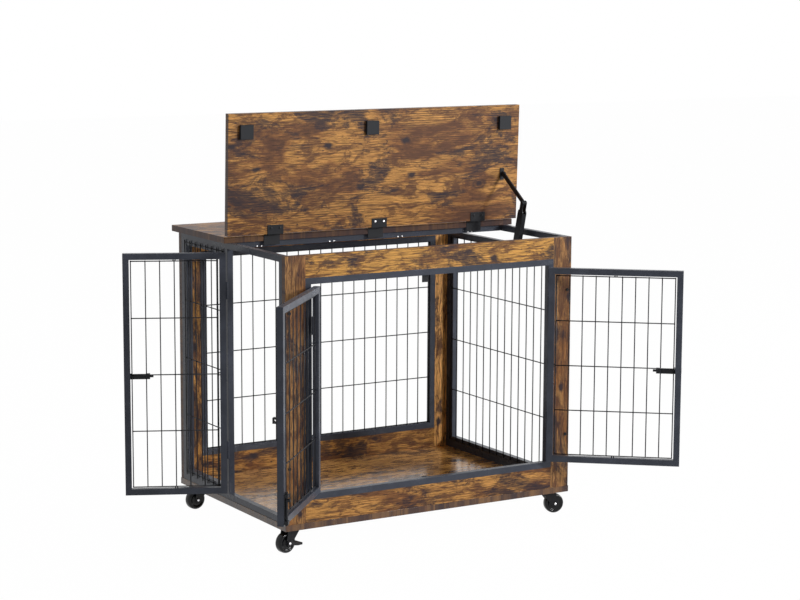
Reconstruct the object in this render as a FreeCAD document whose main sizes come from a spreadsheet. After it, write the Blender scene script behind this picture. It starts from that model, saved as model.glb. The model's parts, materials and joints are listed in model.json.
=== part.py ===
import FreeCAD, Part
import Sketcher
import math
import os
from FreeCAD import Placement, Rotation, Vector

# Dog crate end table: a wheeled steel and board crate with a lift-up half top,
# double front doors and one side door. The origin is on the floor, under the
# centre of the crate. +Z is up and -Y is the front. Millimetres and degrees.

SIZES = {
    # crate body
    "frame_width": 800.0,  # across the board faces, left to right
    "frame_depth": 565.0,  # front face to rear face
    "frame_height": 630.0,  # base board to the underside of the top
    "board_thick": 15.0,  # every board
    "post_width": 53.0,  # face width of the boards round each opening
    "tube": 15.0,  # side of the square steel tube
    "base_reach": 1.0,  # base board past the frame all round
    # the two halves of the top
    "top_reach": 13.0,  # fixed top past the sides and rear
    "lid_reach": 10.0,  # lid past the front face
    "fixed_bevel": 1.2,  # eased edge that clears the hinge knuckles
    "fixed_depth": 293.0,  # fixed half, front to rear
    "lid_seam": 3.0,  # slot between the halves
    "lid_rest_gap": 0.3,  # closed lid above the frame
    "lid_open": 88.0,  # lid angle at rest
    # lid hinges
    "lid_axis_rise": 2.5,  # pin above the fixed top
    "lid_pin_radius": 1.2,
    "lid_knuckle_radius": 2.4,
    "leaf_thick": 1.2,
    "leaf_width": 43.0,
    "leaf_under": 22.0,  # lid leaf along the underside of the lid
    "leaf_drop": 25.0,  # fixed leaf down from the face of the fixed top
    "leaf_side_inset": 110.0,  # outer hinges from the frame's sides
    "leaf_shift": 5.0,  # all three hinges to the right
    # locating pads under the lid
    "pad_side": 34.0,
    "pad_thick": 8.0,
    "pad_side_gap": 1.0,  # pad to the steel post
    "pad_front_gap": 2.0,  # pad to the front board
    "pad_middle_shift": 22.0,  # middle pad to the left of the centre
    # side frames
    "mid_post_front": 294.0,  # mid post and cross rail from the front face
    "screw_head_radius": 4.0,
    "screw_head_thick": 1.2,
    "bolt_edge": 10.5,  # bolt caps from the post's outer edge
    "bolt_low": 133.0,  # bolt caps above the base board
    "bolt_high": 498.0,
    # wire panels
    "wire": 3.0,
    "wire_gap": 2.5,  # door panel border to the tube
    "tab_width": 8.0,
    "right_panel_gap": 26.5,  # open slot above the right panel
    "left_wire_end": 5.0,  # upright wires past the left panel's border
    "left_wire_inset": 7.0,  # left panel wires inside the panel frame
    "right_wire_side": 4.5,  # right panel wires inside the panel frame's ends
    "rear_columns": 20.0,
    "left_columns": 7.0,
    "right_columns": 15.0,
    "door_columns": 9.0,
    "side_columns": 6.0,
    # front doors
    "door_width": 328.0,
    "door_height": 485.0,
    "door_lift": 6.0,  # opening's bottom rail to the door
    "hinge_gap": 1.0,  # hinge axis to the stile, either side
    "barrel_radius": 4.0,
    "barrel_length": 21.0,
    "barrel_pin_radius": 2.0,
    "barrel_gap": 0.3,
    "barrel_pin_short": 1.0,  # pin inside the upper barrel's end
    "barrel_foot": 9.0,
    "barrel_foot_thick": 1.5,
    "hinge_top_inset": 93.0,
    "hinge_bottom_inset": 103.0,
    "left_door_open": 133.0,
    "right_door_open": 140.0,
    # side door
    "side_door_width": 244.5,
    "side_door_height": 588.0,
    "side_door_lift": 5.5,
    "side_hinge_gap": 2.0,
    "side_door_open": 115.0,
    # slide latches
    "latch_height": 309.0,  # bolt above the base board
    "latch_length": 62.0,
    "latch_width": 13.0,
    "latch_plate": 1.5,
    "latch_rise": 10.0,  # guides off the door
    "latch_guide": 8.0,  # inner guide along the bolt
    "rod_radius": 3.0,
    "rod_play": 0.3,
    "rod_short": 1.0,  # drawn bolt inside the door's edge
    "knob_gap": 2.0,  # knob to the guide
    "knob_radius": 4.0,
    "knob_height": 9.0,
    "keeper_length": 12.0,
    # drop bolt on the left door
    "drop_bolt_low": 4.0,  # guide plate above the door's lower edge
    "drop_bolt_length": 68.0,
    "drop_bolt_rise": 9.0,
    # door stop
    "stop_width": 16.0,
    "stop_drop": 19.0,
    "stop_thick": 3.0,
    "stop_from_middle": 14.0,
    "running_gap": 0.3,
    "overrun": 1.0,  # bores past the faces they open
    # folding stay
    "stay_along": 118.5,  # lid pivot from the lid's pin
    "stay_drop": 9.0,  # lid pivot under the lid
    "stay_back": 92.5,  # frame pivot in front of the lid's pin
    "stay_from_side": 29.0,  # channel to the frame's outer side
    "channel_width": 12.0,
    "channel_radius": 11.0,
    "channel_wall": 2.0,
    "neck_length": 27.0,  # narrow end of the channel, at the elbow
    "neck_radius": 6.0,
    "link_thick": 3.0,
    "link_radius": 6.0,
    "stay_pin_radius": 2.5,
    "stay_bore_play": 0.05,
    "elbow_play": 0.5,
    "rivet_head_radius": 4.5,
    "rivet_head": 1.2,
    "bracket_plate": 2.5,
    "bracket_length": 30.0,
    "bracket_wire_clear": 2.0,
    # casters
    "caster_height": 60.0,
    "caster_side_inset": 32.0,
    "caster_end_inset": 40.0,
    "wheel_radius": 25.0,
    "wheel_width": 20.0,
    "wheel_gap": 1.0,
    "trail": 15.0,
    "axle_radius": 3.0,
    "hub_radius": 9.0,
    "hub_rise": 0.5,  # hub past the side of the wheel
    "wheel_bevel": 3.0,
    "fork_wall": 2.5,
    "fork_end": 8.0,
    "crown_thick": 2.5,
    "crown_radius": 17.0,
    "crown_gap": 2.0,
    "plate_side": 48.0,
    "plate_thick": 2.5,
    "race_radius": 15.0,
    "stem_radius": 6.0,
    "shaft_play": 0.05,
    "front_left_swivel": 194.0,
    "front_right_swivel": 347.0,
    "rear_left_swivel": 189.0,
    "rear_right_swivel": 200.0,
    "pedal_wall": 2.0,
    "pedal_length": 14.0,
    "pedal_eye": 6.0,  # half side of the arm round the axle
    "pedal_gap": 1.2,  # tread to the pedal pad
    "pedal_thick": 5.0,
    "pedal_low": 7.0,  # pedal pad under the axle
}

ROWS = 4  # rows of gaps in every wire panel


class Dim:
    """A size that knows its value and the sheet expression that drives it."""

    def __init__(self, text, value):
        self.text = text
        self.value = value

    def __add__(self, other):
        other = dim(other)
        return Dim(f"({self.text} + {other.text})", self.value + other.value)

    def __radd__(self, other):
        return dim(other) + self

    def __sub__(self, other):
        other = dim(other)
        return Dim(f"({self.text} - {other.text})", self.value - other.value)

    def __rsub__(self, other):
        return dim(other) - self

    def __mul__(self, other):
        other = dim(other)
        return Dim(f"({self.text} * {other.text})", self.value * other.value)

    def __rmul__(self, other):
        return dim(other) * self

    def __truediv__(self, other):
        other = dim(other)
        return Dim(f"({self.text} / {other.text})", self.value / other.value)

    def __neg__(self):
        return Dim(f"(-1 * {self.text})", -self.value)


def dim(number):
    """Return a plain number as a Dim, or a Dim as it is."""
    if isinstance(number, Dim):
        return number
    return Dim(f"({number})", float(number))


class Sheet:
    """Named sizes, each read from its cell of the spreadsheet."""

    def __getattr__(self, name):
        return Dim(f"Sizes.{name}", SIZES[name])


def cosine(angle):
    return Dim(f"cos({angle.text} * 1 deg)", math.cos(math.radians(angle.value)))


def sine(angle):
    return Dim(f"sin({angle.text} * 1 deg)", math.sin(math.radians(angle.value)))


def degrees(angle):
    return Dim(f"({angle.text} * 1 deg)", angle.value)


def slope(rise, run):
    """Return the angle of a slope with this rise over this run."""
    return Dim(f"atan2({rise.text}; {run.text})", math.degrees(math.atan2(rise.value, run.value)))


doc = FreeCAD.newDocument("dog_crate_end_table")
cells = doc.addObject("Spreadsheet::Sheet", "Sizes")
for row, (name, value) in enumerate(SIZES.items(), start=1):
    cells.set(f"A{row}", name)
    cells.set(f"B{row}", str(value))
    cells.setAlias(f"B{row}", name)
doc.recompute()
s = Sheet()
nodes = []


# ---- drawing helpers ----


def bind(thing, path, size):
    thing.setExpression(path, dim(size).text)


def place(thing, base, axis=(0, 0, 1), angle=None):
    """Put a thing's own origin at base, turned by angle about axis."""
    turned = 0.0 if angle is None else angle.value
    thing.Placement = Placement(Vector(*[dim(c).value for c in base]), Rotation(Vector(*axis), turned))
    for letter, coordinate in zip("xyz", base):
        bind(thing, f"Placement.Base.{letter}", coordinate)
    if angle is not None:
        bind(thing, "Placement.Rotation.Angle", angle)
    return thing


def box(x, y, z):
    """Return a box from three (low, high) pairs."""
    solid = doc.addObject("Part::Box", "Block")
    for side, (low, high) in zip(("Length", "Width", "Height"), (x, y, z)):
        bind(solid, side, dim(high) - low)
    return place(solid, (x[0], y[0], z[0]))


def rod(start, along, length, radius):
    """Return a cylinder from start along the x, y or z axis."""
    solid = doc.addObject("Part::Cylinder", "Rod")
    bind(solid, "Radius", radius)
    bind(solid, "Height", length)
    axis, turn = {"x": ((0, 1, 0), 90), "y": ((-1, 0, 0), 90), "z": ((0, 0, 1), 0)}[along]
    place(solid, start)
    solid.Placement = Placement(solid.Placement.Base, Rotation(Vector(*axis), turn))
    return solid


def fuse(*solids):
    joined = doc.addObject("Part::MultiFuse", "Joined")
    joined.Shapes = list(solids)
    joined.Refine = True
    return joined


def group(*solids):
    together = doc.addObject("Part::Compound", "Group")
    together.Links = list(solids)
    return together


def cut(blank, tool):
    rest = doc.addObject("Part::Cut", "Cut")
    rest.Base = blank
    rest.Tool = tool
    rest.Refine = True
    return rest


def node(label, thing):
    """Name a finished sub-part."""
    thing.Label = label
    nodes.append(thing)
    return thing


def sketch_on(body, role, offset):
    """Return a sketch on one of the body's own planes, moved along its normal."""
    sketch = body.newObject("Sketcher::SketchObject", "Sketch")
    plane = [f for f in body.Origin.OriginFeatures if f.Role == role][0]
    sketch.AttachmentSupport = (plane, [""])
    sketch.MapMode = "FlatFace"
    sketch.AttachmentOffset = Placement(Vector(0, 0, dim(offset).value), Rotation())
    bind(sketch, "AttachmentOffset.Base.z", offset)
    return sketch


def tie(sketch, line, end, x, y):
    """Tie one end of a sketch line to the sizes that place it."""
    for kind, axis, size in (("DistanceX", -2, dim(x)), ("DistanceY", -1, dim(y))):
        if abs(size.value) < 1e-9:
            sketch.addConstraint(Sketcher.Constraint("PointOnObject", line, end, axis))
            continue
        pair = (-1, 1, line, end) if size.value > 0 else (line, end, -1, 1)
        index = sketch.addConstraint(Sketcher.Constraint(kind, *pair, abs(size.value)))
        bind(sketch, f"Constraints[{index}]", size if size.value > 0 else -size)


def outline(sketch, points):
    """Draw a closed outline of straight lines through points."""
    first = sketch.GeometryCount
    spots = [Vector(dim(x).value, dim(y).value, 0) for x, y in points]
    for start, end in zip(spots, spots[1:] + spots[:1]):
        sketch.addGeometry(Part.LineSegment(start, end), False)
    count = len(points)
    for step in range(count):
        after = first + (step + 1) % count
        sketch.addConstraint(Sketcher.Constraint("Coincident", first + step, 2, after, 1))
    for step, (x, y) in enumerate(points):
        tie(sketch, first + step, 1, x, y)


def rectangle(sketch, x, y):
    outline(sketch, [(x[0], y[0]), (x[1], y[0]), (x[1], y[1]), (x[0], y[1])])


def circle(sketch, x, y, radius):
    line = sketch.addGeometry(Part.Circle(Vector(dim(x).value, dim(y).value, 0), Vector(0, 0, 1), radius.value), False)
    tie(sketch, line, 3, x, y)
    index = sketch.addConstraint(Sketcher.Constraint("Radius", line, radius.value))
    bind(sketch, f"Constraints[{index}]", radius)


def pad(body, sketch, length):
    feature = body.newObject("PartDesign::Pad", "Pad")
    feature.Profile = sketch
    bind(feature, "Length", length)
    return feature


def pocket(body, sketch, length):
    """Cut a sketch into the side that its pads grow to."""
    feature = body.newObject("PartDesign::Pocket", "Pocket")
    feature.Profile = sketch
    feature.Reversed = True
    bind(feature, "Length", length)
    return feature


def wire_panel(label, role, offset, across, up, columns, tabs=None, ends=None):
    """Return a welded wire panel: a flat grid of square-cut wires.

    across and up are the outer (low, high) limits in the panel's plane. tabs is
    the length of the four short tabs that reach the tubes. ends is how far the
    upright wires stand past the border wires.
    """
    body = doc.addObject("PartDesign::Body", "Panel")
    wires = sketch_on(body, role, offset)
    spare = dim(0) if ends is None else ends
    rectangle(wires, across, (up[0] - spare, up[1] + spare))
    pad(body, wires, s.wire)
    if tabs is not None:
        joint = s.wire / 2
        middle_x = (across[0] + across[1]) / 2
        middle_y = (up[0] + up[1]) / 2
        half = s.tab_width / 2
        for x, y in (
            ((across[0] - tabs, across[0] + joint), (middle_y - half, middle_y + half)),
            ((across[1] - joint, across[1] + tabs), (middle_y - half, middle_y + half)),
            ((middle_x - half, middle_x + half), (up[0] - tabs, up[0] + joint)),
            ((middle_x - half, middle_x + half), (up[1] - joint, up[1] + tabs)),
        ):
            tab = sketch_on(body, role, offset)
            rectangle(tab, x, y)
            pad(body, tab, s.wire)
    pitch = (across[1] - across[0] - s.wire) / columns
    rise = (up[1] - up[0] - s.wire) / ROWS
    gaps = sketch_on(body, role, offset)
    left = across[0] + s.wire
    right = across[0] + pitch
    for step in range(ROWS):
        rectangle(gaps, (left, right), (up[0] + s.wire + rise * step, up[0] + rise * (step + 1)))
    if ends is not None:
        rectangle(gaps, (left, right), (up[1], up[1] + ends * 2))
        rectangle(gaps, (left, right), (up[0] - ends * 2, up[0]))
    opened = pocket(body, gaps, s.wire)
    row = body.newObject("PartDesign::LinearPattern", "Row")
    row.Originals = [opened]
    row.Direction = (gaps, ["H_Axis"])
    bind(row, "Length", pitch * (columns - 1))
    bind(row, "Occurrences", columns)
    row.Occurrences = int(columns.value)
    body.Tip = row
    return node(label, body)


# ---- where things are ----

left = -s.frame_width / 2
right = s.frame_width / 2
front = -s.frame_depth / 2
rear = s.frame_depth / 2
deck = s.caster_height + s.board_thick
head = deck + s.frame_height

# ---- base board, and the boards that face the front and the rear ----

node("base_board", box(
    (left - s.base_reach, right + s.base_reach),
    (front - s.base_reach, rear + s.base_reach),
    (s.caster_height, deck),
))

for end, face in (("front", (front, front + s.board_thick)), ("rear", (rear - s.board_thick, rear))):
    node(f"{end}_left_post", box((left, left + s.post_width), face, (deck, head)))
    node(f"{end}_right_post", box((right - s.post_width, right), face, (deck, head)))
    between = (left + s.post_width, right - s.post_width)
    node(f"{end}_top_board", box(between, face, (head - s.post_width, head)))
    node(f"{end}_bottom_board", box(between, face, (deck, deck + s.post_width)))


# ---- steel frames round the front and rear openings ----

hole_x = (left + s.post_width, right - s.post_width)
hole_z = (deck + s.post_width, head - s.post_width)
inner_x = (hole_x[0] + s.tube, hole_x[1] - s.tube)
inner_z = (hole_z[0] + s.tube, hole_z[1] - s.tube)
front_depth = (front, front + s.tube)
rear_depth = (rear - s.tube, rear)

node("front_opening_frame", cut(box(hole_x, front_depth, hole_z), box(inner_x, front_depth, inner_z)))
node("rear_opening_frame", cut(box(hole_x, rear_depth, hole_z), box(inner_x, rear_depth, inner_z)))
wire_panel(
    "rear_panel_mesh",
    "XZ_Plane",
    -(rear - s.tube / 2 + s.wire / 2),
    inner_x,
    inner_z,
    s.rear_columns,
)

# ---- welded side frames ----

post_front = (front + s.board_thick, front + s.board_thick + s.tube)
post_rear = (rear - s.board_thick - s.tube, rear - s.board_thick)
between_posts = (post_front[1], post_rear[0])
mid_post = (front + s.mid_post_front, front + s.mid_post_front + s.tube)
left_tube = (left, left + s.tube)
right_tube = (right - s.tube, right)
low_rail = (deck, deck + s.tube)
high_rail = (head - s.tube, head)
between_rails = (low_rail[1], high_rail[0])

node("left_side_frame", fuse(
    box(left_tube, post_front, (deck, head)),
    box(left_tube, post_rear, (deck, head)),
    box(left_tube, between_posts, low_rail),
    box(left_tube, between_posts, high_rail),
    box(left_tube, mid_post, between_rails),
))
node("right_side_frame", fuse(
    box(right_tube, post_front, (deck, head)),
    box(right_tube, post_rear, (deck, head)),
    box(right_tube, between_posts, low_rail),
    box(right_tube, between_posts, high_rail),
))
node("cross_rail", box((left_tube[1], right_tube[0]), mid_post, high_rail))

# ---- left rear panel, with its wires on the outer face ----

left_panel_y = (mid_post[1], post_rear[0])
node("left_panel_frame", cut(
    box(left_tube, left_panel_y, between_rails),
    box(
        left_tube,
        (left_panel_y[0] + s.tube, left_panel_y[1] - s.tube),
        (between_rails[0] + s.tube, between_rails[1] - s.tube),
    ),
))
wire_panel(
    "left_panel_mesh",
    "YZ_Plane",
    left - s.wire,
    (left_panel_y[0] + s.left_wire_inset, left_panel_y[1] - s.left_wire_inset),
    (between_rails[0] + s.left_wire_inset, between_rails[1] - s.left_wire_inset),
    s.left_columns,
    ends=s.left_wire_end,
)

# ---- right panel, with its wires on the inner face and a slot above it ----

right_panel_z = (low_rail[1], high_rail[0] - s.right_panel_gap)
panel_top_rail = (right_panel_z[1] - s.tube, right_panel_z[1])
node("right_panel_frame", cut(
    box(right_tube, between_posts, right_panel_z),
    box(
        right_tube,
        (between_posts[0] + s.tube, between_posts[1] - s.tube),
        (right_panel_z[0] + s.tube, panel_top_rail[0]),
    ),
))
wire_panel(
    "right_panel_mesh",
    "YZ_Plane",
    right - s.tube - s.wire,
    (between_posts[0] + s.right_wire_side, between_posts[1] - s.right_wire_side),
    (right_panel_z[0] + s.tube / 2 - s.wire / 2, panel_top_rail[0] + s.wire / 2),
    s.right_columns,
)

# ---- fixed rear half of the top ----

top_x = (left - s.top_reach, right + s.top_reach)
fixed_front = rear + s.top_reach - s.fixed_depth
fixed = doc.addObject("PartDesign::Body", "FixedTop")
end_face = sketch_on(fixed, "YZ_Plane", top_x[0])
outline(end_face, [
    (fixed_front, head),
    (rear + s.top_reach, head),
    (rear + s.top_reach, head + s.board_thick),
    (fixed_front + s.fixed_bevel, head + s.board_thick),
    (fixed_front, head + s.board_thick - s.fixed_bevel),
])
pad(fixed, end_face, top_x[1] - top_x[0])
node("fixed_top", fixed)

# ---- lid: drawn closed about its pin, then swung open ----

pin_y = fixed_front - s.lid_seam / 2
pin_z = head + s.board_thick + s.lid_axis_rise
pin = (0, pin_y, pin_z)
under = head + s.lid_rest_gap - pin_z
lid_back = -s.lid_seam / 2
lid_front = front - s.lid_reach - pin_y


def hang(thing):
    """Swing a piece drawn on the closed lid to the rest angle."""
    return place(thing, pin, (-1, 0, 0), degrees(s.lid_open))


node("lid_panel", hang(group(box(top_x, (lid_front, lid_back), (under, under + s.board_thick)))))

pad_front = front + s.board_thick + s.pad_front_gap - pin_y
pad_y = (pad_front, pad_front + s.pad_side)
pad_z = (under - s.pad_thick, under)
pad_left = left_tube[1] + s.pad_side_gap
pad_right = right_tube[0] - s.pad_side_gap - s.pad_side
pad_middle = -s.pad_middle_shift - s.pad_side / 2
pads = []
for pad_x in (pad_left, pad_middle, pad_right):
    pads.append(box((pad_x, pad_x + s.pad_side), pad_y, pad_z))
node("lid_pads", hang(group(*pads)))

# Each hinge wraps round the seam: a knuckle on top, one leaf down each board.
hinge_starts = (
    left + s.leaf_side_inset + s.leaf_shift - s.leaf_width / 2,
    s.leaf_shift - s.leaf_width / 2,
    right - s.leaf_side_inset + s.leaf_shift - s.leaf_width / 2,
)
knuckle = (s.leaf_width - 2 * s.barrel_gap) / 3
leaf_top = -s.lid_knuckle_radius - s.barrel_gap
lid_leaves = []
fixed_leaves = []
pins = []
for start in hinge_starts:
    bore = rod((start - s.overrun, 0, 0), "x", s.leaf_width + 2 * s.overrun, s.lid_pin_radius + s.shaft_play)
    middle = (start + knuckle + s.barrel_gap, start + 2 * knuckle + s.barrel_gap)
    face = (lid_back, lid_back + s.leaf_thick)
    lid_leaf = fuse(
        box((start, start + s.leaf_width), face, (under - s.leaf_thick, leaf_top)),
        box(
            (start, start + s.leaf_width),
            (lid_back - s.leaf_under, lid_back + s.leaf_thick),
            (under - s.leaf_thick, under),
        ),
        box(middle, face, (leaf_top, 0)),
        rod((middle[0], 0, 0), "x", knuckle, s.lid_knuckle_radius),
    )
    lid_leaves.append(cut(lid_leaf, bore))
    fixed_face = (s.lid_seam / 2 - s.leaf_thick, s.lid_seam / 2)
    fixed_low = -s.lid_axis_rise - s.leaf_drop
    fixed_bore = rod((start - s.overrun, 0, 0), "x", s.leaf_width + 2 * s.overrun, s.lid_pin_radius + s.shaft_play)
    outer = start + s.leaf_width - knuckle
    fixed_leaf = fuse(
        box((start, start + s.leaf_width), fixed_face, (fixed_low, leaf_top)),
        box((start, start + knuckle), fixed_face, (leaf_top, 0)),
        box((outer, outer + knuckle), fixed_face, (leaf_top, 0)),
        rod((start, 0, 0), "x", knuckle, s.lid_knuckle_radius),
        rod((outer, 0, 0), "x", knuckle, s.lid_knuckle_radius),
    )
    fixed_leaves.append(cut(fixed_leaf, fixed_bore))
    pins.append(rod((start, 0, 0), "x", s.leaf_width, s.lid_pin_radius))
node("lid_hinge_leaves", hang(group(*lid_leaves)))
node("lid_hinge_fixed_leaves", place(group(*fixed_leaves), pin))
node("lid_hinge_pins", place(group(*pins), pin))

# ---- folding stay: a parallelogram between the lid and the right panel ----

channel_x = (right - s.stay_from_side - s.channel_width, right - s.stay_from_side)
link_x = (
    channel_x[0] + (s.channel_width - s.link_thick) / 2,
    channel_x[0] + (s.channel_width + s.link_thick) / 2,
)
bracket_z = (panel_top_rail[0] + s.bracket_wire_clear, panel_top_rail[1])
foot_y = -s.stay_back
foot_z = (bracket_z[0] + bracket_z[1]) / 2 - pin_z
lid_pivot_z = under - s.stay_drop
reach = Dim(
    f"sqrt({s.stay_along.text}^2 + {lid_pivot_z.text}^2)",
    math.hypot(s.stay_along.value, lid_pivot_z.value),
)
link = Dim(f"sqrt({foot_y.text}^2 + {foot_z.text}^2)", math.hypot(foot_y.value, foot_z.value))


def strap(x, length, radius):
    """Return a flat strap with round ends, from the origin towards -Y."""
    return fuse(
        box(x, (-length, 0), (-radius, radius)),
        rod((x[0], 0, 0), "x", x[1] - x[0], radius),
        rod((x[0], -length, 0), "x", x[1] - x[0], radius),
    )


rivet_x = (channel_x[0] - s.rivet_head, channel_x[1] + s.rivet_head)
wide = reach - s.neck_length
channel = fuse(
    strap((channel_x[0], channel_x[0] + s.channel_wall), wide, s.channel_radius),
    strap((channel_x[1] - s.channel_wall, channel_x[1]), wide, s.channel_radius),
    box(channel_x, (-wide, 0), (-s.channel_radius, -s.channel_radius + s.channel_wall)),
    strap((channel_x[0], channel_x[0] + s.channel_wall), reach, s.neck_radius),
    strap((channel_x[1] - s.channel_wall, channel_x[1]), reach, s.neck_radius),
    rod((rivet_x[0], -wide, 0), "x", s.rivet_head, s.rivet_head_radius),
    rod((rivet_x[0], -reach, 0), "x", rivet_x[1] - rivet_x[0], s.stay_pin_radius),
    rod((rivet_x[0], -reach, 0), "x", s.rivet_head, s.rivet_head_radius),
    rod((channel_x[1], -reach, 0), "x", s.rivet_head, s.rivet_head_radius),
)
foot_bore = rod(
    (rivet_x[0], 0, 0),
    "x",
    s.channel_width + 2 * s.rivet_head,
    s.stay_pin_radius + s.stay_bore_play,
)
lower_arm = node("stay_lower_arm", cut(channel, foot_bore))
foot = (0, pin_y + foot_y, pin_z + foot_z)
place(lower_arm, foot, (-1, 0, 0), degrees(s.lid_open) - slope(-lid_pivot_z, s.stay_along))

upper = strap(link_x, link, s.link_radius)
link_bore = s.link_thick + 2 * s.overrun
upper_bores = fuse(
    rod((link_x[0] - s.overrun, 0, 0), "x", link_bore, s.stay_pin_radius + s.stay_bore_play),
    rod((link_x[0] - s.overrun, -link, 0), "x", link_bore, s.stay_pin_radius + s.elbow_play),
)
upper_arm = node("stay_upper_arm", cut(upper, upper_bores))
turned_y = -s.stay_along * cosine(s.lid_open) + lid_pivot_z * sine(s.lid_open)
turned_z = s.stay_along * sine(s.lid_open) + lid_pivot_z * cosine(s.lid_open)
place(upper_arm, (0, pin_y + turned_y, pin_z + turned_z), (1, 0, 0), slope(-foot_z, -foot_y))

# Bracket under the lid: a screwed flange, an ear and the pin of the upper arm.
ear_x = (link_x[1] + s.running_gap, link_x[1] + s.running_gap + s.channel_wall)
pivot_y = -s.stay_along
lid_pin_start = link_x[0] - s.running_gap - s.rivet_head
node("stay_lid_bracket", hang(fuse(
    box(
        (channel_x[0], channel_x[1]),
        (pivot_y - s.bracket_length / 2, pivot_y + s.bracket_length / 2),
        (under - s.channel_wall, under),
    ),
    box(ear_x, (pivot_y - s.link_radius, pivot_y + s.link_radius), (lid_pivot_z, under)),
    rod((ear_x[0], pivot_y, lid_pivot_z), "x", s.channel_wall, s.link_radius),
    rod((lid_pin_start, pivot_y, lid_pivot_z), "x", ear_x[1] - lid_pin_start, s.stay_pin_radius),
    rod((lid_pin_start, pivot_y, lid_pivot_z), "x", s.rivet_head, s.rivet_head_radius),
)))

# Bracket on the right panel's top rail: a plate, a boss and the lower pin.
plate_x = (right_tube[0] - s.bracket_plate, right_tube[0])
foot_pin_start = channel_x[0] - s.running_gap - s.rivet_head
boss_start = channel_x[1] + s.running_gap
bracket = node("stay_base_bracket", fuse(
    box(
        plate_x,
        (-s.bracket_length / 2, s.bracket_length / 2),
        (bracket_z[0] - pin_z - foot_z, bracket_z[1] - pin_z - foot_z),
    ),
    rod((boss_start, 0, 0), "x", plate_x[1] - boss_start, s.rivet_head_radius),
    rod((foot_pin_start, 0, 0), "x", plate_x[1] - foot_pin_start, s.stay_pin_radius),
    rod((foot_pin_start, 0, 0), "x", s.rivet_head, s.rivet_head_radius),
))
place(bracket, foot)


# ---- doors: drawn about the hinge axis, along +X, then swung open ----

door_z = (inner_z[0] + s.door_lift, inner_z[0] + s.door_lift + s.door_height)
side_z = (low_rail[1] + s.side_door_lift, low_rail[1] + s.side_door_lift + s.side_door_height)


def facing(side, low, high):
    """Return a (low, high) pair across the door, outer face first, for side -1 or 1."""
    return (dim(low), dim(high)) if side < 0 else (-dim(high), -dim(low))


def hinge_heights(door):
    """Return where the two barrels of each hinge meet."""
    return (door[0] + s.hinge_bottom_inset, door[1] - s.hinge_top_inset)


def door_frame(label, width, z, gap, side):
    """Return a welded door frame with the upper barrel of each hinge."""
    depth = facing(side, s.barrel_radius, s.barrel_radius + s.tube)
    x = (gap, gap + width)
    window = box((x[0] + s.tube, x[1] - s.tube), depth, (z[0] + s.tube, z[1] - s.tube))
    pieces = [box(x, depth, z)]
    bores = [window]
    foot_depth = facing(side, s.barrel_radius - s.barrel_foot_thick, s.barrel_radius)
    for meet in hinge_heights(z):
        low = meet + s.barrel_gap
        high = low + s.barrel_length
        pieces.append(rod((0, 0, low), "z", s.barrel_length, s.barrel_radius))
        pieces.append(box((0, s.barrel_foot), foot_depth, (low, high)))
        bores.append(rod((0, 0, low - s.overrun), "z", s.barrel_length, s.barrel_pin_radius + s.shaft_play))
    return node(label, cut(fuse(*pieces), fuse(*bores)))


def door_wires(label, width, z, gap, side, columns):
    """Return the wire panel of a door, in the middle of its tubes."""
    middle = -side * (s.barrel_radius + s.tube / 2)
    inset = s.tube + s.wire_gap
    return wire_panel(
        label,
        "XZ_Plane",
        -middle - s.wire / 2,
        (gap + inset, gap + width - inset),
        (z[0] + inset, z[1] - inset),
        columns,
        tabs=s.wire_gap,
    )


def fixed_barrels(z, side):
    """Return the lower barrel and pin of each hinge, welded to the frame."""
    pieces = []
    foot_depth = facing(side, s.barrel_radius - s.barrel_foot_thick, s.barrel_radius)
    for meet in hinge_heights(z):
        low = meet - s.barrel_length
        pieces.append(fuse(
            rod((0, 0, low), "z", s.barrel_length, s.barrel_radius),
            box((-s.barrel_foot, 0), foot_depth, (low, meet)),
            rod((0, 0, low), "z", 2 * s.barrel_length - s.barrel_pin_short, s.barrel_pin_radius),
        ))
    return group(*pieces)


# Slide latch on the outer face of a door, its bolt along the door.
rod_axis = s.latch_rise / 2
latch_z = (deck + s.latch_height - s.latch_width / 2, deck + s.latch_height + s.latch_width / 2)
bolt_z = deck + s.latch_height


def latch_housing(label, edge, side):
    """Return the latch's plate and its two guides, up to the door's free edge."""
    outer = s.barrel_radius
    plate = facing(side, outer - s.latch_plate, outer)
    guide = facing(side, outer - s.latch_rise, outer)
    start = edge - s.latch_length
    blank = fuse(
        box((start, edge), plate, latch_z),
        box((start, start + s.latch_guide), guide, latch_z),
        box((edge - s.tube, edge), guide, latch_z),
    )
    axis = -side * (outer - rod_axis)
    bore_start = (start - s.overrun, axis, bolt_z)
    hole = rod(bore_start, "x", s.latch_length + 2 * s.overrun, s.rod_radius + s.rod_play)
    return node(label, cut(blank, hole))


def latch_bolt(label, edge, side):
    """Return the latch's bolt and its knob, drawn back."""
    outer = s.barrel_radius
    start = edge - s.latch_length - s.latch_guide
    length = s.latch_length + s.latch_guide - s.rod_short
    axis = -side * (outer - rod_axis)
    knob_x = start + 2 * s.latch_guide + s.knob_radius + s.knob_gap
    knob_start = axis if side > 0 else axis - s.knob_height
    return node(label, fuse(
        rod((start, axis, bolt_z), "x", length, s.rod_radius),
        rod((knob_x, knob_start, bolt_z), "y", s.knob_height, s.knob_radius),
    ))


def latch_keeper(x, side):
    """Return a bored block that takes the end of a bolt."""
    outer = s.barrel_radius
    guide = facing(side, outer - s.latch_rise, outer)
    axis = -side * (outer - rod_axis)
    bore_start = (x[0] - s.overrun, axis, bolt_z)
    hole = rod(bore_start, "x", x[1] - x[0] + 2 * s.overrun, s.rod_radius + s.rod_play)
    return cut(box(x, guide, latch_z), hole)


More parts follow.
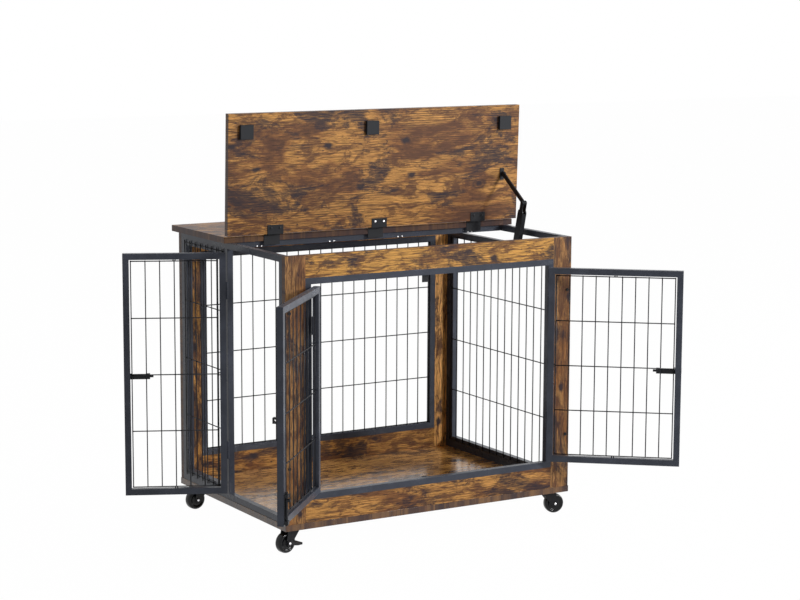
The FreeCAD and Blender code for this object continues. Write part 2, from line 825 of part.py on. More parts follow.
# Front left door
left_axis = (inner_x[0] + s.hinge_gap, front - s.barrel_radius, 0)
left_swing = (left_axis, (0, 0, -1), degrees(s.left_door_open))
door_edge = s.hinge_gap + s.door_width
place(door_frame("left_door_frame", s.door_width, door_z, s.hinge_gap, -1), *left_swing)
place(door_wires("left_door_mesh", s.door_width, door_z, s.hinge_gap, -1, s.door_columns), *left_swing)
keeper = node("left_door_keeper", latch_keeper((door_edge - s.keeper_length, door_edge), -1))
place(keeper, *left_swing)

# Drop bolt on the inner face of the left door's free stile
inside = s.barrel_radius + s.tube
stile_x = (door_edge - (s.tube + s.latch_width) / 2, door_edge - (s.tube - s.latch_width) / 2)
drop_x = door_edge - s.tube / 2
drop_y = inside + s.drop_bolt_rise / 2
drop_z = (door_z[0] + s.drop_bolt_low, door_z[0] + s.drop_bolt_low + s.drop_bolt_length)
guide_y = (inside, inside + s.drop_bolt_rise)
drop_guides = cut(
    fuse(
        box(stile_x, (inside, inside + s.latch_plate), drop_z),
        box(stile_x, guide_y, (drop_z[0], drop_z[0] + s.latch_guide)),
        box(stile_x, guide_y, (drop_z[1] - s.latch_guide, drop_z[1])),
    ),
    rod(
        (drop_x, drop_y, drop_z[0] - s.overrun),
        "z",
        s.drop_bolt_length + 2 * s.overrun,
        s.rod_radius + s.rod_play,
    ),
)
place(node("left_bolt_guides", drop_guides), *left_swing)
drop_knob_z = drop_z[1] - s.latch_guide - s.knob_radius - s.knob_gap
drop_bolt = fuse(
    rod((drop_x, drop_y, door_z[0] + s.rod_short), "z", s.drop_bolt_length + s.latch_guide, s.rod_radius),
    rod((drop_x, drop_y, drop_knob_z), "y", s.knob_height, s.knob_radius),
)
place(node("left_drop_bolt", drop_bolt), *left_swing)

# Keeper for the drop bolt, on the rear face of the opening's bottom rail
keeper_x = left_axis[0] + drop_x
keeper_y = (front + s.tube, front + s.tube + s.drop_bolt_rise)
drop_keeper = cut(
    box((keeper_x - s.latch_width / 2, keeper_x + s.latch_width / 2), keeper_y, (hole_z[0], inner_z[0])),
    rod(
        (keeper_x, front + s.tube + s.drop_bolt_rise / 2, hole_z[0] - s.overrun),
        "z",
        s.tube + 2 * s.overrun,
        s.rod_radius + s.rod_play,
    ),
)
node("drop_bolt_keeper", drop_keeper)

# Front right door
right_axis = (inner_x[1] - s.hinge_gap, front - s.barrel_radius, 0)
right_swing = (right_axis, (0, 0, 1), degrees(180 + s.right_door_open))
place(door_frame("right_door_frame", s.door_width, door_z, s.hinge_gap, 1), *right_swing)
place(door_wires("right_door_mesh", s.door_width, door_z, s.hinge_gap, 1, s.door_columns), *right_swing)
place(latch_housing("right_latch_housing", door_edge, 1), *right_swing)
place(latch_bolt("right_latch_bolt", door_edge, 1), *right_swing)

# Side door, hinged on the left side's mid post
side_axis = (left - s.barrel_radius, mid_post[0] - s.side_hinge_gap, 0)
side_swing = (side_axis, (0, 0, -1), degrees(90 + s.side_door_open))
side_edge = s.side_hinge_gap + s.side_door_width
place(door_frame("side_door_frame", s.side_door_width, side_z, s.side_hinge_gap, -1), *side_swing)
place(
    door_wires("side_door_mesh", s.side_door_width, side_z, s.side_hinge_gap, -1, s.side_columns),
    *side_swing,
)
place(latch_housing("side_latch_housing", side_edge, -1), *side_swing)
place(latch_bolt("side_latch_bolt", side_edge, -1), *side_swing)

# Fixed halves of the door hinges, and the side latch's keeper on the corner post
node("front_hinge_barrels", group(
    place(fixed_barrels(door_z, -1), left_axis),
    place(fixed_barrels(door_z, 1), right_axis, (0, 0, 1), degrees(dim(180))),
))
node("side_hinge_barrels", place(fixed_barrels(side_z, -1), side_axis, (0, 0, -1), degrees(dim(90))))
post_x = side_axis[1] - post_front[1] + (s.tube - s.keeper_length) / 2
side_keeper = node("side_latch_keeper", latch_keeper((post_x, post_x + s.keeper_length), -1))
place(side_keeper, side_axis, (0, 0, -1), degrees(dim(90)))

# Door stop: a joggled plate on the rear face of the opening's top rail
stop_x = (-s.stop_from_middle - s.stop_width / 2, -s.stop_from_middle + s.stop_width / 2)
stop_rear = front + s.tube + s.stop_thick
node("door_stop_bracket", fuse(
    box(stop_x, (front + s.tube, stop_rear), (inner_z[1], hole_z[1])),
    box(stop_x, (front + s.tube + s.running_gap, stop_rear), (inner_z[1] - s.stop_drop, inner_z[1])),
))

# Caps of the bolts that hold the boards to the corner posts
caps = []
for cap_x in (left + s.bolt_edge, right - s.bolt_edge):
    for cap_y in (front - s.screw_head_thick, rear):
        for cap_z in (deck + s.bolt_low, deck + s.bolt_high):
            caps.append(rod((cap_x, cap_y, cap_z), "y", s.screw_head_thick, s.screw_head_radius))
node("frame_bolts", group(*caps))


# ---- swivel casters: drawn about the stem, with the wheel along +X ----

crown_low = 2 * s.wheel_radius + s.crown_gap
crown_high = crown_low + s.crown_thick
plate_low = s.caster_height - s.plate_thick
race_low = crown_high + s.running_gap
wheel_gap = s.wheel_width + 2 * s.wheel_gap
fork_width = wheel_gap + 2 * s.fork_wall


def fork(label, braked):
    """Return a fork with its crown, stem and riveted axle."""
    body = doc.addObject("PartDesign::Body", "Fork")
    sides = sketch_on(body, "XZ_Plane", -fork_width / 2)
    outline(sides, [
        (-s.crown_radius, crown_high),
        (-s.crown_radius, crown_low - s.crown_gap),
        (s.trail - s.fork_end, s.wheel_radius - s.fork_end / 2),
        (s.trail - s.fork_end / 2, s.wheel_radius - s.fork_end),
        (s.trail + s.fork_end / 2, s.wheel_radius - s.fork_end),
        (s.trail + s.fork_end, s.wheel_radius - s.fork_end / 2),
        (s.trail + s.fork_end, s.wheel_radius + s.fork_end / 2),
        (s.crown_radius, crown_low - s.crown_gap),
        (s.crown_radius, crown_high),
    ])
    pad(body, sides, fork_width)
    gap = sketch_on(body, "XZ_Plane", -wheel_gap / 2)
    rectangle(gap, (-2 * s.wheel_radius, s.trail + s.wheel_radius), (0, crown_low))
    pocket(body, gap, wheel_gap)
    crown = sketch_on(body, "XY_Plane", crown_low)
    circle(crown, 0, 0, s.crown_radius)
    pad(body, crown, s.crown_thick)
    stem = sketch_on(body, "XY_Plane", crown_low)
    circle(stem, 0, 0, s.stem_radius)
    pad(body, stem, s.caster_height - s.running_gap - crown_low)
    reach_out = fork_width
    if braked:
        reach_out = fork_width + 2 * (s.pedal_wall + 2 * s.running_gap)
    axle_length = reach_out + 2 * s.rivet_head
    axle = sketch_on(body, "XZ_Plane", -axle_length / 2)
    circle(axle, s.trail, s.wheel_radius, s.axle_radius)
    pad(body, axle, axle_length)
    for start in (-axle_length / 2, axle_length / 2 - s.rivet_head):
        rivet = sketch_on(body, "XZ_Plane", start)
        circle(rivet, s.trail, s.wheel_radius, s.rivet_head_radius)
        pad(body, rivet, s.rivet_head)
    return node(label, body)


def wheel(label):
    """Return a moulded wheel: a disc with a raised hub and a bevelled tread."""
    body = doc.addObject("PartDesign::Body", "Wheel")
    half = s.wheel_width / 2
    section = sketch_on(body, "XY_Plane", dim(0))
    side = [
        (s.axle_radius + s.shaft_play, half + s.hub_rise),
        (s.hub_radius, half + s.hub_rise),
        (s.wheel_radius - s.wheel_bevel, half),
        (s.wheel_radius, half - s.wheel_bevel),
    ]
    outline(section, side + [(r, -y) for r, y in reversed(side)])
    turned = body.newObject("PartDesign::Revolution", "Turned")
    turned.Profile = section
    turned.ReferenceAxis = (section, ["V_Axis"])
    turned.Angle = 360
    body.Tip = turned
    return node(label, body)


def pedal(label):
    """Return a brake pedal: two arms on the axle and a pad ahead of the wheel."""
    body = doc.addObject("PartDesign::Body", "Pedal")
    outer = fork_width + 2 * (s.running_gap + s.pedal_wall)
    inner = fork_width + 2 * s.running_gap
    tip = -s.wheel_radius - s.pedal_gap
    low = -s.pedal_low - s.pedal_thick / 2
    high = -s.pedal_low + s.pedal_thick / 2
    arms = sketch_on(body, "XZ_Plane", -outer / 2)
    outline(arms, [
        (s.pedal_eye, -s.pedal_eye),
        (s.pedal_eye, s.pedal_eye),
        (-s.pedal_eye, s.pedal_eye),
        (tip, high),
        (tip - s.pedal_length, high),
        (tip - s.pedal_length, low),
        (tip, low),
        (-s.pedal_eye, -s.pedal_eye),
    ])
    pad(body, arms, outer)
    gap = sketch_on(body, "XZ_Plane", -inner / 2)
    rectangle(gap, (tip, s.wheel_radius), (-s.wheel_radius, s.wheel_radius))
    pocket(body, gap, inner)
    hole = sketch_on(body, "XZ_Plane", -outer / 2 - s.overrun)
    circle(hole, 0, 0, s.axle_radius + s.shaft_play)
    last = pocket(body, hole, outer + 2 * s.overrun)
    body.Tip = last
    return node(label, body)


corners = (
    ("front_left", -1, -1, s.front_left_swivel, True),
    ("front_right", 1, -1, s.front_right_swivel, False),
    ("rear_left", -1, 1, s.rear_left_swivel, False),
    ("rear_right", 1, 1, s.rear_right_swivel, True),
)
plates = []
for corner, way_x, way_y, swivel, braked in corners:
    stem_x = way_x * (right - s.caster_side_inset)
    stem_y = way_y * (rear - s.caster_end_inset)
    up = (0, 0, 1)
    axle_x = stem_x + s.trail * cosine(swivel)
    axle_y = stem_y + s.trail * sine(swivel)
    place(fork(f"{corner}_fork", braked), (stem_x, stem_y, 0), up, degrees(swivel))
    rolling = wheel(f"{corner}_wheel")
    if braked:
        place(pedal(f"{corner}_pedal"), (axle_x, axle_y, s.wheel_radius), up, degrees(swivel))
    place(rolling, (axle_x, axle_y, s.wheel_radius), up, degrees(swivel))
    half_plate = s.plate_side / 2
    blank = fuse(
        box(
            (stem_x - half_plate, stem_x + half_plate),
            (stem_y - half_plate, stem_y + half_plate),
            (plate_low, s.caster_height),
        ),
        rod((stem_x, stem_y, race_low), "z", plate_low - race_low, s.race_radius),
    )
    bearing = rod((stem_x, stem_y, crown_low), "z", s.caster_height, s.stem_radius + s.shaft_play)
    plates.append(cut(blank, bearing))
node("caster_plates", group(*plates))

doc.recompute()

# ---- checks and export ----

for thing in doc.Objects:
    if "Invalid" in thing.State or "Error" in thing.State:
        raise RuntimeError(f"{thing.Label} failed: {thing.State}")
os.makedirs("parts", exist_ok=True)
for part in nodes:
    shape = part.Shape
    if shape.isNull() or not shape.isValid():
        raise RuntimeError(f"{part.Label} has no valid shape")
    print(part.Label, len(shape.Solids), round(shape.Volume / 1000.0, 2))
    shape.exportStep(f"parts/{part.Label}.step")
print(len(nodes), "nodes")
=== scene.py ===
"""Dress the dog crate end table: wood-grain boards, powder-coated tube, wires and casters."""

import json
import logging
import math
from dataclasses import dataclass, field
from enum import Enum

import bmesh
import bpy
from mathutils import Matrix, Vector

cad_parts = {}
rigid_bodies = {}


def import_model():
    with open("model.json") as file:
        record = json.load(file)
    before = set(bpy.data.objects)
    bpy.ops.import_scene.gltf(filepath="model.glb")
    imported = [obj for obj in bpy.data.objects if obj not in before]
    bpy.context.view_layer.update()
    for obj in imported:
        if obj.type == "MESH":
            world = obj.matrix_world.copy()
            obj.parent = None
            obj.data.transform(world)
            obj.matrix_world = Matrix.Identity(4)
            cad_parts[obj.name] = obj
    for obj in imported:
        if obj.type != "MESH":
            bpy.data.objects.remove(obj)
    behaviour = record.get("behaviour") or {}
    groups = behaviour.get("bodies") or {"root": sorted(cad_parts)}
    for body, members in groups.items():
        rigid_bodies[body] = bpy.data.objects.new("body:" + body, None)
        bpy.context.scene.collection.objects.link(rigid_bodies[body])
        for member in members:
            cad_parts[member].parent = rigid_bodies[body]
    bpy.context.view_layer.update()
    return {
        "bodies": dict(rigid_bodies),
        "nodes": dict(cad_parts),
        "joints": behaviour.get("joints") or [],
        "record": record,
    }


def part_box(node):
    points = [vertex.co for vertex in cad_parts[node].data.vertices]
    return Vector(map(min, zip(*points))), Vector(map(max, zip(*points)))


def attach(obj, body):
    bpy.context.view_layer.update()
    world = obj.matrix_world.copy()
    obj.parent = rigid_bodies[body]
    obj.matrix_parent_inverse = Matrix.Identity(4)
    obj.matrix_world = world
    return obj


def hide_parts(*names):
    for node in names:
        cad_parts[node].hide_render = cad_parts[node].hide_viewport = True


log = logging.getLogger("dog_crate_end_table")

Colour = tuple[float, float, float]

ON_AXIS = 1e-7


class Axis(Enum):
    """A direction of the crate's own frame."""

    X = 0
    Y = 1
    Z = 2


class Mixing(Enum):
    """How a colour is laid over another."""

    COVER = "MIX"
    DARKEN = "MULTIPLY"


class Bench:
    """A material's node tree with short calls to add nodes and join them."""

    def __init__(self, name: str) -> None:
        """Start a new material with an empty shader.

        Args:
            name: the material's name.
        """
        self.material = bpy.data.materials.new(name)
        self.material.use_nodes = True
        self.tree = self.material.node_tree
        self.shader = self.tree.nodes["Principled BSDF"]

    def node(self, kind: str, **settings: object) -> bpy.types.Node:
        """Add a node.

        Args:
            kind: Blender's name of the node type.
            settings: properties of the node, such as an operation.

        Returns:
            The new node.
        """
        made = self.tree.nodes.new(kind)
        for name, value in settings.items():
            setattr(made, name, value)
        return made

    def join(self, source: object, target: bpy.types.NodeSocket) -> None:
        """Feed a socket with another socket, or set it to a plain value.

        Args:
            source: the socket or the value to feed in.
            target: the socket that takes it.
        """
        if isinstance(source, bpy.types.NodeSocket):
            self.tree.links.new(source, target)
        else:
            target.default_value = source

    def maths(self, operation: str, first: object, second: object = 0.0) -> bpy.types.NodeSocket:
        """Work out a sum of two sockets or numbers.

        Args:
            operation: Blender's name of the sum.
            first: a socket or a number.
            second: a socket or a number.

        Returns:
            The result's socket.
        """
        made = self.node("ShaderNodeMath", operation=operation)
        self.join(first, made.inputs[0])
        self.join(second, made.inputs[1])
        return made.outputs[0]

    def blend(
        self, share: object, first: object, second: object, way: Mixing = Mixing.COVER
    ) -> bpy.types.NodeSocket:
        """Mix two colours.

        Args:
            share: how much of the second colour.
            first: the colour underneath.
            second: the colour on top.
            way: how the second colour is laid over the first.

        Returns:
            The mixed colour's socket.
        """
        made = self.node("ShaderNodeMix", data_type="RGBA", blend_type=way.value)
        self.join(share, made.inputs["Factor"])
        for source, socket in ((first, made.inputs[6]), (second, made.inputs[7])):
            if isinstance(source, tuple):
                source = (*source, 1.0)
            self.join(source, socket)
        return made.outputs[2]

    def ramp(self, source: object, *stops: tuple[float, object]) -> bpy.types.NodeSocket:
        """Lay a colour ramp over a socket.

        Args:
            source: the socket that runs along the ramp.
            stops: each stop's place, with its colour or grey.

        Returns:
            The ramp's colour.
        """
        made = self.node("ShaderNodeValToRGB")
        self.join(source, made.inputs[0])
        band = made.color_ramp.elements
        while len(band) < len(stops):
            band.new(0.5)
        for element, (place, tone) in zip(band, stops):
            element.position = place
            element.color = (*tone, 1.0) if isinstance(tone, tuple) else (tone, tone, tone, 1.0)
        return made.outputs[0]

    def coordinates(self) -> bpy.types.NodeSocket:
        """Return the piece's own coordinates."""
        return self.node("ShaderNodeTexCoord").outputs["Object"]

    def noise(
        self, where: object, scale: float, detail: float, rough: float, bend: float = 0.0
    ) -> bpy.types.NodeSocket:
        """Lay a noise over coordinates.

        Args:
            where: the coordinates' socket.
            scale: lumps to the metre.
            detail: layers of finer noise.
            rough: strength of the finer layers.
            bend: distortion.

        Returns:
            The noise's grey socket.
        """
        made = self.node("ShaderNodeTexNoise")
        self.join(where, made.inputs["Vector"])
        made.inputs["Scale"].default_value = scale
        made.inputs["Detail"].default_value = detail
        made.inputs["Roughness"].default_value = rough
        made.inputs["Distortion"].default_value = bend
        return made.outputs["Fac"]

    def bump(self, height: object, depth: float, strength: float = 1.0, round_edge: float = 0.0) -> None:
        """Drive the shader's normal with a height, over edges rounded by a radius.

        Args:
            height: the socket that raises the surface.
            depth: the height of a full rise, in metres.
            strength: the share of the rise that shows.
            round_edge: the radius that softens the edges.
        """
        made = self.node("ShaderNodeBump")
        made.inputs["Strength"].default_value = strength
        made.inputs["Distance"].default_value = depth
        self.join(height, made.inputs["Height"])
        if round_edge:
            soft = self.node("ShaderNodeBevel", samples=4)
            soft.inputs["Radius"].default_value = round_edge
            self.join(soft.outputs[0], made.inputs["Normal"])
        self.join(made.outputs[0], self.shader.inputs["Normal"])


@dataclass(frozen=True)
class RusticLaminate:
    """A printed rustic board: golden brown grain with smoky patches, knots and fine cracks."""

    name: str
    grain: Axis
    face: Axis
    shift: tuple[float, float] = (0.0, 0.0)
    light: Colour = (0.500, 0.240, 0.060)
    middle: Colour = (0.235, 0.095, 0.027)
    russet: Colour = (0.085, 0.032, 0.014)
    smoke: Colour = (0.016, 0.010, 0.016)
    edge: Colour = (0.040, 0.018, 0.016)
    patch_low: float = 0.525
    gold_low: float = 0.44
    saw_marks: float = 0.25
    roughness: float = 0.42
    shine: float = 0.22
    line_stretch: float = 0.060
    line_scale: float = 400.0
    line_share: float = 0.92
    print_depth: float = 0.0005
    print_strength: float = 0.4
    edge_radius: float = 0.0008
    band_turn: float = 0.6
    band_share: float = 0.18
    knot_stretch: float = 0.62
    knot_ripple: float = 60.0
    knot_bend: float = 0.012

    def make(self) -> bpy.types.Material:
        """Build the board's material.

        Returns:
            The material.
        """
        bench = Bench(self.name)
        sheet = self._sheet(bench)
        streaks = self._grain(bench, sheet, self.line_stretch, self.line_scale, 6.0, 0.70, 0.15)
        tone = self._ground(bench, sheet)
        grain = bench.ramp(streaks, (0.38, 0.20), (0.46, 0.74), (0.54, 1.04), (0.66, 1.40))
        tone = bench.blend(self.line_share, tone, grain, Mixing.DARKEN)
        tone = self._rings(bench, tone, sheet)
        tone = self._saw(bench, tone, sheet)
        tone = self._smoke(bench, tone, sheet, streaks)
        tone = self._cracks(bench, tone, sheet)
        tone = self._knots(bench, tone, sheet)
        tone = self._band_edges(bench, tone)
        bench.join(tone, bench.shader.inputs["Base Color"])
        bench.shader.inputs["Specular IOR Level"].default_value = self.shine
        gloss = bench.ramp(streaks, (0.3, self.roughness + 0.08), (0.7, self.roughness - 0.05))
        bench.join(gloss, bench.shader.inputs["Roughness"])
        bench.bump(streaks, self.print_depth, self.print_strength, self.edge_radius)
        return bench.material

    def _sheet(self, bench: Bench) -> bpy.types.NodeSocket:
        """Lay out flat coordinates of the print, along and across the grain.

        Args:
            bench: the material's bench.

        Returns:
            The coordinates' socket.
        """
        split = bench.node("ShaderNodeSeparateXYZ")
        bench.join(bench.coordinates(), split.inputs[0])
        across = [axis for axis in Axis if axis not in (self.grain, self.face)][0]
        flat = bench.node("ShaderNodeCombineXYZ")
        for socket, axis, offset in zip(flat.inputs, (self.grain, across), self.shift):
            bench.join(bench.maths("ADD", split.outputs[axis.value], offset), socket)
        return flat.outputs[0]

    def _grain(
        self,
        bench: Bench,
        sheet: object,
        along: float,
        scale: float,
        detail: float,
        rough: float,
        bend: float,
    ) -> bpy.types.NodeSocket:
        """Draw a noise out along the grain.

        Args:
            bench: the material's bench.
            sheet: the print's coordinates.
            along: how much shorter it is along the grain.
            scale: lumps to the metre across the grain.
            detail: layers of finer noise.
            rough: strength of the finer layers.
            bend: distortion.

        Returns:
            The noise's grey socket.
        """
        mapping = bench.node("ShaderNodeMapping")
        mapping.inputs["Scale"].default_value = (along, 1.0, 1.0)
        bench.join(sheet, mapping.inputs[0])
        return bench.noise(mapping.outputs[0], scale, detail, rough, bend)

    def _ground(self, bench: Bench, sheet: object) -> bpy.types.NodeSocket:
        """Drift between russet, brown and gold.

        Args:
            bench: the material's bench.
            sheet: the print's coordinates.

        Returns:
            The colour's socket.
        """
        cloud = self._grain(bench, sheet, 0.30, 13.0, 9.0, 0.68, 0.5)
        low = self.gold_low
        stops = [(low - 0.09, self.russet), (low, self.middle)]
        stops += [(low + 0.08, self.light), (low + 0.30, self.light)]
        return bench.ramp(cloud, *stops)

    def _rings(self, bench: Bench, tone: object, sheet: object) -> bpy.types.NodeSocket:
        """Draw long growth lines over the colour.

        Args:
            bench: the material's bench.
            tone: the colour so far.
            sheet: the print's coordinates.

        Returns:
            The new colour's socket.
        """
        for along, scale, share in ((0.09, 34.0, 0.8), (0.06, 75.0, 0.65)):
            wave = self._grain(bench, sheet, along, scale, 3.0, 0.6, 0.35)
            line = bench.ramp(wave, (0.468, 0.0), (0.490, share), (0.500, share), (0.516, 0.0))
            tone = bench.blend(line, tone, self.russet)
        return tone

    def _saw(self, bench: Bench, tone: object, sheet: object) -> bpy.types.NodeSocket:
        """Draw faint saw marks along the grain, in places.

        Args:
            bench: the material's bench.
            tone: the colour so far.
            sheet: the print's coordinates.

        Returns:
            The new colour's socket.
        """
        marks = bench.node("ShaderNodeTexWave", wave_type="BANDS", bands_direction="Y")
        marks.inputs["Scale"].default_value = 57.0
        marks.inputs["Distortion"].default_value = 1.2
        marks.inputs["Detail"].default_value = 2.0
        bench.join(sheet, marks.inputs["Vector"])
        places = self._grain(bench, sheet, 0.6, 4.0, 2.0, 0.5, 0.0)
        where = bench.ramp(places, (0.46, 0.0), (0.58, self.saw_marks))
        line = bench.ramp(marks.outputs["Fac"], (0.10, 1.0), (0.45, 0.0))
        return bench.blend(bench.maths("MULTIPLY", line, where), tone, self.smoke)

    def _smoke(self, bench: Bench, tone: object, sheet: object, streaks: object) -> bpy.types.NodeSocket:
        """Lay russet and smoky patches over the colour, broken up along the grain.

        Args:
            bench: the material's bench.
            tone: the colour so far.
            sheet: the print's coordinates.
            streaks: the fine grain that breaks the patches up.

        Returns:
            The new colour's socket.
        """
        broken = bench.ramp(streaks, (0.42, 1.0), (0.62, 0.55))
        for along, scale, low, shade in (
            (0.42, 26.0, self.patch_low - 0.01, self.russet),
            (0.48, 11.0, self.patch_low, self.smoke),
        ):
            patches = self._grain(bench, sheet, along, scale, 9.0, 0.72, 0.6)
            cover = bench.ramp(patches, (low, 0.0), (low + 0.035, 0.8), (low + 0.07, 1.0))
            tone = bench.blend(bench.maths("MULTIPLY", cover, broken), tone, shade)
        return tone

    def _cracks(self, bench: Bench, tone: object, sheet: object) -> bpy.types.NodeSocket:
        """Draw thin dark cracks and specks along the grain.

        Args:
            bench: the material's bench.
            tone: the colour so far.
            sheet: the print's coordinates.

        Returns:
            The new colour's socket.
        """
        crackle = self._grain(bench, sheet, 0.075, 420.0, 5.0, 0.7, 0.4)
        where = bench.ramp(self._grain(bench, sheet, 0.5, 17.0, 4.0, 0.65, 0.3), (0.44, 0.1), (0.58, 1.0))
        lines = bench.ramp(crackle, (0.36, 1.0), (0.41, 0.0))
        tone = bench.blend(bench.maths("MULTIPLY", lines, where), tone, self.smoke)
        specks = self._grain(bench, sheet, 0.40, 120.0, 2.0, 0.6, 0.0)
        return bench.blend(bench.ramp(specks, (0.27, 0.9), (0.31, 0.0)), tone, self.smoke)

    def _knots(self, bench: Bench, tone: object, sheet: object) -> bpy.types.NodeSocket:
        """Set knots into the colour: a dark eye, some inside a thin ring.

        Args:
            bench: the material's bench.
            tone: the colour so far.
            sheet: the print's coordinates.

        Returns:
            The new colour's socket.
        """
        ripple = bench.node("ShaderNodeTexNoise")
        ripple.inputs["Scale"].default_value = self.knot_ripple
        ripple.inputs["Detail"].default_value = 3.0
        bench.join(sheet, ripple.inputs["Vector"])
        small = bench.node("ShaderNodeVectorMath", operation="SCALE")
        bench.join(ripple.outputs["Color"], small.inputs[0])
        small.inputs["Scale"].default_value = self.knot_bend
        bent = bench.node("ShaderNodeVectorMath", operation="ADD")
        bench.join(sheet, bent.inputs[0])
        bench.join(small.outputs[0], bent.inputs[1])
        drawn = bench.node("ShaderNodeMapping")
        drawn.inputs["Scale"].default_value = (self.knot_stretch, 1.0, 1.0)
        bench.join(bent.outputs[0], drawn.inputs[0])
        for scale, share, stops in (
            (7.5, 0.62, ((0.034, 0.95), (0.075, 0.0), (0.080, 0.0))),
            (3.4, 0.60, ((0.016, 0.85), (0.026, 0.10), (0.036, 0.65), (0.050, 0.0))),
        ):
            cells = bench.node("ShaderNodeTexVoronoi", feature="F1", voronoi_dimensions="2D")
            cells.inputs["Scale"].default_value = scale
            cells.inputs["Randomness"].default_value = 1.0
            bench.join(drawn.outputs[0], cells.inputs["Vector"])
            some = bench.maths("LESS_THAN", cells.outputs["Color"], share)
            spot = bench.maths("MULTIPLY", bench.ramp(cells.outputs["Distance"], *stops), some)
            tone = bench.blend(spot, tone, self.smoke)
        return tone

    def _band_edges(self, bench: Bench, tone: bpy.types.NodeSocket) -> bpy.types.NodeSocket:
        """Lay the dark band on the board's narrow edges.

        Args:
            bench: the material's bench.
            tone: the colour so far.

        Returns:
            The new colour's socket.
        """
        place = bench.node("ShaderNodeTexCoord")
        split = bench.node("ShaderNodeSeparateXYZ")
        bench.join(place.outputs["Normal"], split.inputs[0])
        facing = bench.maths("ABSOLUTE", split.outputs[self.face.value])
        narrow = bench.maths("LESS_THAN", facing, self.band_turn)
        band = bench.blend(self.band_share, self.edge, tone)
        return bench.blend(narrow, tone, band)


@dataclass(frozen=True)
class PowderCoat:
    """Charcoal powder coat on steel: a faint orange peel and softly rubbed edges."""

    name: str
    colour: Colour
    roughness: float = 0.30
    round_edge: float = 0.0013
    shine: float = 0.20
    peel_scale: float = 900.0
    peel_depth: float = 0.0002

    def make(self) -> bpy.types.Material:
        """Build the coat's material.

        Returns:
            The material.
        """
        bench = Bench(self.name)
        where = bench.coordinates()
        mottle = bench.noise(where, 22.0, 5.0, 0.6)
        paler = tuple(min(1.0, tone * 1.35) for tone in self.colour)
        darker = tuple(tone * 0.78 for tone in self.colour)
        tone = bench.ramp(mottle, (0.32, darker), (0.55, self.colour), (0.74, paler))
        bench.join(tone, bench.shader.inputs["Base Color"])
        gloss = bench.ramp(mottle, (0.35, self.roughness + 0.05), (0.65, self.roughness - 0.05))
        bench.join(gloss, bench.shader.inputs["Roughness"])
        bench.shader.inputs["Specular IOR Level"].default_value = self.shine
        peel = bench.noise(where, self.peel_scale, 2.0, 0.5)
        bench.bump(peel, self.peel_depth, 0.25, self.round_edge)
        return bench.material


@dataclass(frozen=True)
class MouldedPlastic:
    """Black plastic or rubber with a fine grain and a dusty bloom."""

    name: str
    colour: Colour
    roughness: float = 0.5
    grain: float = 700.0
    shine: float = 0.25
    grain_depth: float = 0.0002
    round_edge: float = 0.0006

    def make(self) -> bpy.types.Material:
        """Build the plastic's material.

        Returns:
            The material.
        """
        bench = Bench(self.name)
        where = bench.coordinates()
        bloom = bench.noise(where, 40.0, 4.0, 0.6)
        dusty = tuple(tone * 1.5 + 0.002 for tone in self.colour)
        bench.join(bench.ramp(bloom, (0.4, self.colour), (0.75, dusty)), bench.shader.inputs["Base Color"])
        bench.shader.inputs["Specular IOR Level"].default_value = self.shine
        gloss = bench.ramp(bloom, (0.3, self.roughness - 0.06), (0.7, self.roughness + 0.06))
        bench.join(gloss, bench.shader.inputs["Roughness"])
        bench.bump(bench.noise(where, self.grain, 2.0, 0.5), self.grain_depth, 0.3, self.round_edge)
        return bench.material


@dataclass(frozen=True)
class BrightZinc:
    """Zinc-plated steel with a brushed sparkle."""

    name: str
    colour: Colour = (0.78, 0.78, 0.80)
    roughness: float = 0.28
    brush_scale: float = 1500.0
    brush_depth: float = 0.0001
    round_edge: float = 0.0003

    def make(self) -> bpy.types.Material:
        """Build the plating's material.

        Returns:
            The material.
        """
        bench = Bench(self.name)
        bench.shader.inputs["Metallic"].default_value = 1.0
        where = bench.coordinates()
        cloud = bench.noise(where, 160.0, 4.0, 0.6)
        dull = tuple(tone * 0.7 for tone in self.colour)
        bench.join(bench.ramp(cloud, (0.3, dull), (0.6, self.colour)), bench.shader.inputs["Base Color"])
        gloss = bench.ramp(cloud, (0.3, self.roughness + 0.12), (0.7, self.roughness))
        bench.join(gloss, bench.shader.inputs["Roughness"])
        brush = bench.noise(where, self.brush_scale, 2.0, 0.5)
        bench.bump(brush, self.brush_depth, 0.2, self.round_edge)
        return bench.material


def dress(frame: dict, material: bpy.types.Material, *nodes: str) -> None:
    """Put a material on nodes of the fixed frame.

    Args:
        frame: the loaded frame.
        material: the finish.
        nodes: names of the nodes.
    """
    for name in nodes:
        thing = frame["nodes"][name]
        thing.data.materials.clear()
        thing.data.materials.append(material)


def piece(
    name: str, mesh: bmesh.types.BMesh, body: str, material: bpy.types.Material
) -> bpy.types.Object:
    """Turn a mesh into a named piece that rides on a body.

    Args:
        name: the piece's name.
        mesh: its faces, in the crate's frame.
        body: the body that it moves with.
        material: the finish.

    Returns:
        The new object.
    """
    data = bpy.data.meshes.new(name)
    mesh.to_mesh(data)
    mesh.free()
    thing = bpy.data.objects.new(name, data)
    bpy.context.scene.collection.objects.link(thing)
    thing.data.materials.append(material)
    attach(thing, body)
    log.info("%s: %d faces on %s", name, len(data.polygons), body)
    return thing


def add_rod(mesh: bmesh.types.BMesh, start: Vector, end: Vector, radius: float, sides: int) -> None:
    """Add a round rod between two points.

    Args:
        mesh: the mesh to add to.
        start: centre of one end.
        end: centre of the other end.
        radius: half its thickness.
        sides: faces round it.
    """
    way = end - start
    turn = way.to_track_quat("Z", "Y").to_matrix().to_4x4()
    place = Matrix.Translation((start + end) / 2) @ turn
    made = bmesh.ops.create_cone(
        mesh, cap_ends=True, segments=sides, radius1=radius, radius2=radius, depth=way.length, matrix=place
    )
    for vert in made["verts"]:
        for side in vert.link_faces:
            side.smooth = len(side.verts) == 4


